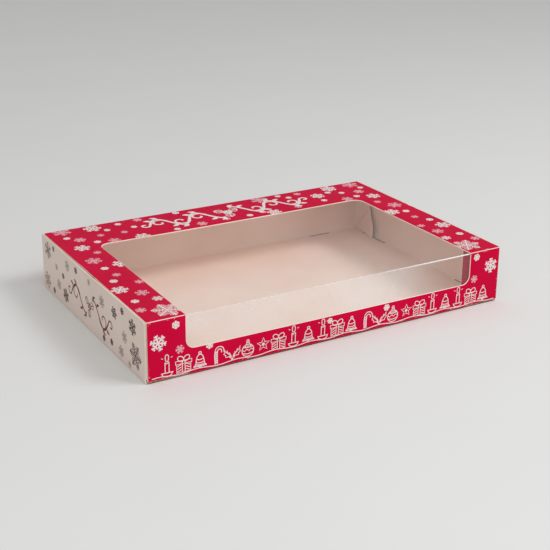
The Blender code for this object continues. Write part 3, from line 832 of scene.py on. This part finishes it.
back_flakes = (
    (bold, -104, 24, 10), (small, -92, 10, 4.6), (lacy, -82, 26, 9), (fine, -71, 14, 6),
    (small, -62, 27, 4.6), (bold, -50, 12, 9), (fine, -38, 24, 6), (small, -26, 9, 4.6),
    (large, -10, 18, 16), (small, 8, 28, 4.6), (fine, 16, 9, 6), (bold, 30, 22, 9.5),
    (small, 43, 11, 4.6), (lacy, 56, 24, 10), (fine, 68, 9, 6), (small, 76, 27, 4.6), (bold, 87, 14, 9),
    (fine, 99, 27, 6), (small, 106, 10, 4.6))
back_print = print_flakes(
    "back_print", back_flakes, (0, half_depth, 0), back_turn,
    lambda across, up: [((0, fold_z), (0, 1)), ((0, fold), (0, -1))], on_red)
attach(back_print, "tray")
for design in (bold, small, fine, lacy, large):
    bpy.data.objects.remove(design)


# Drawn ornaments are printed in the same ink: a scrolling vine with holly on the lid and the ends,
# and a row of festive things on a snow line along the front.
fine_line = 0.5          # millimetres
maroon_ink = ink("maroon_ink", 112, 34, 44)


def drawing(name):
    """An empty line drawing, in millimetres across and up."""
    bpy.ops.object.add(type="CURVE")
    made = bpy.context.object
    made.name = name
    made.data.dimensions = "3D"
    made.data.bevel_depth = 0.5
    made.data.bevel_resolution = 0
    made.data.resolution_u = 4
    made.data.use_fill_caps = True
    return made


def stroke(art, points, width=fine_line, closed=False, sharp=False, thin_ends=False):
    """A line through points, smooth or with sharp corners, which may thin out at both ends."""
    line = art.data.splines.new("BEZIER")
    line.bezier_points.add(len(points) - 1)
    line.use_cyclic_u = closed
    last = len(points) - 1
    for number, (knot, (across, up)) in enumerate(zip(line.bezier_points, points)):
        knot.co = (across, up, 0)
        knot.handle_left_type = knot.handle_right_type = "VECTOR" if sharp else "AUTO"
        knot.radius = width * (0.25 + 0.75 * sin(pi * number / last) if thin_ends else 1)


def round_line(art, across, up, radius, width=fine_line, start=0, turn=2 * pi, end_radius=None):
    """An arc, a ring or a spiral about a point."""
    steps = max(4, round(abs(turn) / (pi / 4)))
    shrink = (end_radius or radius) / radius
    points = []
    for n in range(steps + 1):
        arm, angle = radius * shrink ** (n / steps), start + turn * n / steps
        points.append((across + arm * cos(angle), up + arm * sin(angle)))
    ring = abs(turn) >= 2 * pi and shrink == 1
    stroke(art, points[:-1] if ring else points, width, closed=ring)


def ink_drawing(art, middle, turn, finish):
    """Makes a line drawing flat ink on a panel."""
    select_only(art)
    bpy.ops.object.convert(target="MESH")
    piece = bpy.context.object
    piece.data.materials.append(finish)
    piece.scale = (mm, mm, 2 * ink_thickness)
    bpy.ops.object.transform_apply()
    bpy.ops.object.shade_smooth_by_angle(angle=soft_angle)
    return lay_on(piece, middle, turn)


def vine(name, humps, hump, swing, line):
    """A wavy stem to each side of a holly sprig. A curl springs from it into each hollow, and a leaf
    stands on each crest."""
    art = drawing(name)
    for side in (-1, 1):
        stem = [(side * n * hump / 8, side * swing * sin(pi * n / 8)) for n in range(3, 8 * humps + 1)]
        stroke(art, stem, line)
        for n in range(humps):
            up = side * (1 if n % 2 == 0 else -1)
            middle = (side * (n + 0.5) * hump, up * 0.12 * swing)
            arm = (-side * hump / 2, -up * 0.12 * swing)
            if n > 0:
                round_line(art, *middle, hypot(*arm), line * 0.75, start=atan2(arm[1], arm[0]),
                           turn=-side * up * 2.1 * pi, end_radius=0.13 * hump)
            for lean, size in ((-0.12, 0.5), (0.3, 0.4)):
                foot = (middle[0] + side * lean * hump, up * swing * cos(pi * lean))
                tip = (foot[0] + side * 0.3 * hump, foot[1] + up * size * swing)
                bend = ((foot[0] + tip[0]) / 2 - side * 0.04 * hump,
                        (foot[1] + tip[1]) / 2 + up * 0.1 * swing)
                stroke(art, [foot, bend, tip], line * 1.7, thin_ends=True)
        round_line(art, side * (humps + 0.26) * hump, 0, 0.26 * hump, line * 0.8,
                   start=pi if side > 0 else 0, turn=(1 if humps % 2 else -1) * 1.8 * pi,
                   end_radius=0.08 * hump)
    for angle in (0.4, 0.4 + 2 * pi / 3, 0.4 + 4 * pi / 3):
        leaf = []
        for n in range(10):
            bulge = 0.32 * swing * sin(n / 9 * pi) * (1.3 if n % 2 else 0.75)
            leaf.append(((0.28 + 0.85 * n / 9) * swing, bulge))
        outline = leaf + [(x, -y) for x, y in reversed(leaf[1:-1])]
        turned = [(x * cos(angle) - y * sin(angle), x * sin(angle) + y * cos(angle)) for x, y in outline]
        stroke(art, turned, line * 0.5, closed=True, sharp=True)
        stroke(art, [turned[0], turned[9]], line * 0.5, sharp=True)
        berry = angle + pi / 3
        round_line(art, 0.22 * swing * cos(berry), 0.22 * swing * sin(berry), 0.08 * swing, line * 0.9)
    return art


vine_across, vine_up, end_vine_up = 3 * mm, 59 * mm, 15 * mm
lid_vine = ink_drawing(
    vine("lid_vine", 4, 13.5, 8, 1.9), (vine_across, vine_up, height + ink_thickness), facing_up,
    white_ink)
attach(lid_vine, "lid")
end_vines = {}
for side, word in both_sides:
    end_vines[side] = ink_drawing(
        vine(word + "_end_vine", 2, 13.5, 6, 1.1),
        (side * (half_length + ink_thickness), 0, end_vine_up), end_turn[side], maroon_ink)
    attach(end_vines[side], "tray")


# The row's things are each drawn about the middle, and then moved to their places along the row.
def gift(art):
    for half, low, high in ((4, 0.4, 5.2), (4.6, 5.2, 7)):
        stroke(art, [(-half, low), (half, low), (half, high), (-half, high)], closed=True, sharp=True)
    for side in (-1, 1):
        stroke(art, [(side * 0.8, 0.4), (side * 0.8, 7)], sharp=True)
        stroke(art, [(0, 7), (side * 2.6, 9.6), (side * 3.3, 7.8)], closed=True)
        for step in (0, 1.5, 3):
            stroke(art, [(side * 3.7, 0.9 + step), (side * 1.4, 2 + step)], sharp=True)


def bell(art):
    side = [(3.6, 1.6), (2.6, 2.8), (2.2, 5), (1.6, 7), (0, 8.2)]
    stroke(art, side + [(-across, up) for across, up in reversed(side[:-1])])
    stroke(art, [(-3.8, 1.6), (3.8, 1.6)], fine_line * 1.4, sharp=True)
    for up, half in ((2.7, 2.6), (3.8, 2.2), (5.6, 1.8)):
        stroke(art, [(-half, up), (0, up - 0.5), (half, up)])
    round_line(art, 0, 0.9, 0.55)
    round_line(art, 0, 9, 0.7)


def candle(art):
    stroke(art, [(-3, 2), (-2.2, 0.5), (2.2, 0.5), (3, 2)])
    stroke(art, [(-3.4, 2), (3.4, 2)], sharp=True)
    for side in (-1, 1):
        stroke(art, [(side * 1.1, 2), (side * 1.1, 8)], sharp=True)
        stroke(art, [(side * 2.2, 10.2), (side * 3.2, 10.6)], fine_line * 0.8, sharp=True)
    stroke(art, [(-1.1, 8), (-0.3, 7.2), (0.4, 7.6), (1.1, 8)])
    stroke(art, [(0, 8.4), (0.9, 9.8), (0, 12.2), (-0.9, 9.8)], closed=True)


def cane(art):
    for bend in (1.2, 2.6):
        stem = [(1.9 - bend, 0.2), (1.9 - bend, 7.4)]
        stem += [(1.9 - bend * cos(n * pi / 4), 7.4 + bend * sin(n * pi / 4)) for n in range(1, 5)]
        stroke(art, stem + [(stem[-1][0], 6.4)])
    for n in range(6):
        stroke(art, [(-0.7, 0.6 + 1.2 * n), (0.7, 1.5 + 1.2 * n)], fine_line * 1.3, sharp=True)


def bauble(art):
    round_line(art, 0, 4, 3.5)
    zigzag = [(-3.4, 4.6), (-2, 3.6), (-0.7, 4.8), (0.7, 3.6), (2, 4.8), (3.4, 3.8)]
    stroke(art, zigzag, sharp=True)
    stroke(art, [(-3, 2.6), (0, 1.9), (3, 2.6)])
    stroke(art, [(-2.7, 6), (0, 5.6), (2.7, 6)])
    for across in (-1.4, 0, 1.4):
        round_line(art, across, 6.4, 0.2)
    stroke(art, [(-0.8, 7.5), (-0.8, 8.6), (0.8, 8.6), (0.8, 7.5)], sharp=True)
    round_line(art, 0, 9.4, 0.7)


def holly(art):
    leaf = [(0.6, 3), (1.6, 5), (2.4, 4.6), (3, 6.4), (3.8, 5.8), (4.8, 8), (4.4, 5.4), (5, 4.8),
            (3.8, 3.8), (3.8, 2.8), (2.4, 2.8)]
    for side in (-1, 1):
        stroke(art, [(side * across, up) for across, up in leaf], closed=True, sharp=True)
        stroke(art, [(side * 0.6, 3), (side * 3.8, 6)], sharp=True)
    for across, up in ((0, 1.2), (-1, 2.5), (1, 2.5)):
        round_line(art, across, up, 0.35, 0.7)


def star(art):
    points = []
    for n, radius in enumerate((3.9, 1.6) * 5):
        points.append((radius * sin(n * pi / 5), 5.4 + radius * cos(n * pi / 5)))
    stroke(art, points, closed=True, sharp=True)
    round_line(art, 0, 5.4, 0.5, fine_line * 1.6)


frieze = drawing("front_frieze")
frieze_pitch, frieze_half, frieze_foot = 9.4, 11, 2.4 * mm    # 11 things to each side
things = (candle, gift, bell, cane, holly, bauble, star, gift, candle, bell)
for number in range(2 * frieze_half + 1):
    drawn = len(frieze.data.splines)
    things[number % len(things)](frieze)
    for line in frieze.data.splines[drawn:]:
        for knot in line.bezier_points:
            knot.co.x += (number - frieze_half) * frieze_pitch
snow_line = [(n * 4, 0.5 * sin(n * 1.1)) for n in range(-28, 29)]
stroke(frieze, snow_line)
front_frieze = ink_drawing(
    frieze, (0, -half_depth - ink_thickness, frieze_foot), facing_front, white_ink)
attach(front_frieze, "front")


# Thin board never lies quite flat. The lid's strips and its film sag a little and its sides lift, the
# front's sill bellies outwards, and so do the end walls' raw edges. Creases stay straight.
cage_half = 2 * mm       # a lattice's reach to each side of a panel


def bow(pieces, low, high, grid, normal, pushes):
    """Bends pieces together with a lattice from low to high. Pushes says by how many millimetres some of
    its points move along the normal axis, each named by its place on the other two."""
    low, high = Vector(low), Vector(high)
    bpy.ops.object.add(type="LATTICE", location=(low + high) / 2)
    cage = bpy.context.object
    cage.data.points_u, cage.data.points_v, cage.data.points_w = grid
    for way in "uvw":
        setattr(cage.data, "interpolation_type_" + way, "KEY_CARDINAL")
    first, last = cage.data.points[0].co.copy(), cage.data.points[-1].co.copy()
    cage.scale = [(high[n] - low[n]) / (last[n] - first[n]) for n in range(3)]
    for point in cage.data.points:
        spot = [round((point.co[n] - first[n]) / (last[n] - first[n]) * (grid[n] - 1)) for n in range(3)]
        del spot[normal]
        moved = point.co.copy()
        moved[normal] += pushes.get(tuple(spot), 0) * mm / cage.scale[normal]
        point.co_deform = moved
    for piece in pieces:
        modify(piece, "LATTICE", object=cage)
    bpy.data.objects.remove(cage)


bow((lid, lid_print, lid_vine, film_top), (-lid_half, -fold_y, height - cage_half),
    (lid_half, fold_y, height + cage_half), (5, 5, 2), 2,
    {(0, 1): 0.1, (0, 2): 0.3, (0, 3): 0.2, (4, 1): 0.15, (4, 2): 0.25, (4, 3): 0.1,
     (1, 3): -0.25, (2, 3): -0.4, (3, 3): -0.2, (1, 2): -0.15, (2, 2): -0.3, (3, 2): -0.2, (2, 1): -0.2})
bow((front, front_print, front_frieze, film_front),
    (-lid_half, -half_depth - cage_half, panel_bottom),
    (lid_half, cage_half - half_depth, fold_z), (5, 2, 4), 1,
    {(1, 1): -0.2, (2, 1): -0.4, (3, 1): -0.25, (1, 2): -0.1, (2, 2): -0.2, (3, 2): -0.15})
for side, pushes in ((-1, (0.15, 0.4, 0.25)), (1, (0.2, 0.3, 0.35))):
    ends = sorted((side * (half_length - cage_half), side * (half_length + cage_half)))
    bow((end_panels[side], end_prints[side], end_vines[side]), (ends[0], wall_low.y, fold),
        (ends[1], wall_high.y, height), (2, 5, 3), 0,
        {(n, level): side * push * share
         for n, push in enumerate(pushes, 1) for level, share in ((1, 0.4), (2, 1))})


# A plain pale table and a soft grey room. One lamp stands to the front right, a wider one fills in
# from the front left, and the camera has the photograph's view.
table_drop = 0.02 * mm       # keeps the table's face clear of the base's
bpy.ops.mesh.primitive_plane_add(size=8, location=(0, 0, -table_drop))
table_top = bpy.context.object
table_top.name = "table_top"
table_finish, tree, shader = material_of("table_top")
mottle = noise(tree, put(tree, "ShaderNodeTexCoord").outputs["Object"], 9.0, 5.0)
fill(tree, shader, {
    "Base Color": blend_colours(tree, mottle, colour(232, 232, 230), colour(227, 227, 225)),
    "Roughness": ramp(tree, mottle, 0.3, 0.7, 0.6, 0.7), "Specular IOR Level": 0.3})
table_top.data.materials.append(table_finish)

world = bpy.data.worlds.new("room")
bpy.context.scene.world = world
world.use_nodes = True
world.node_tree.nodes["Background"].inputs["Color"].default_value = (0.5, 0.5, 0.5, 1)


def lamp(name, place, size, power):
    """A square lamp that looks at the box."""
    bpy.ops.object.light_add(type="AREA", location=place)
    made = bpy.context.object
    made.name = name
    made.rotation_euler = (-Vector(place)).to_track_quat("-Z", "Y").to_euler()
    made.data.shape = "SQUARE"
    made.data.size = size
    made.data.energy = power


lamp("lamp_over", (0.7, -0.7, 1.1), 0.6, 8)
lamp("lamp_front", (-0.45, -0.9, 0.95), 1.2, 4.5)

# The camera was fitted to the box's corners in the photograph, which is 550 pixels wide. The line it
# looks along meets the picture 50 pixels above the middle.
picture_width, look_above = 550, 50
eye = Vector((-0.3242, -0.5604, 0.2687))
looking = Vector((0.4775, 0.8152, -0.3278))
rightwards = Vector((0.8645, -0.5025, 0.0097))
bpy.ops.object.camera_add(location=eye)
camera = bpy.context.object
upwards = rightwards.cross(looking).normalized()
turned = Matrix((rightwards, upwards, -looking)).transposed()
camera.matrix_world = Matrix.Translation(eye) @ turned.to_4x4()
camera.data.sensor_width = 36
camera.data.lens = 75.2
camera.data.shift_y = -look_above / picture_width
bpy.context.scene.camera = camera
bpy.context.scene.view_settings.view_transform = "Standard"
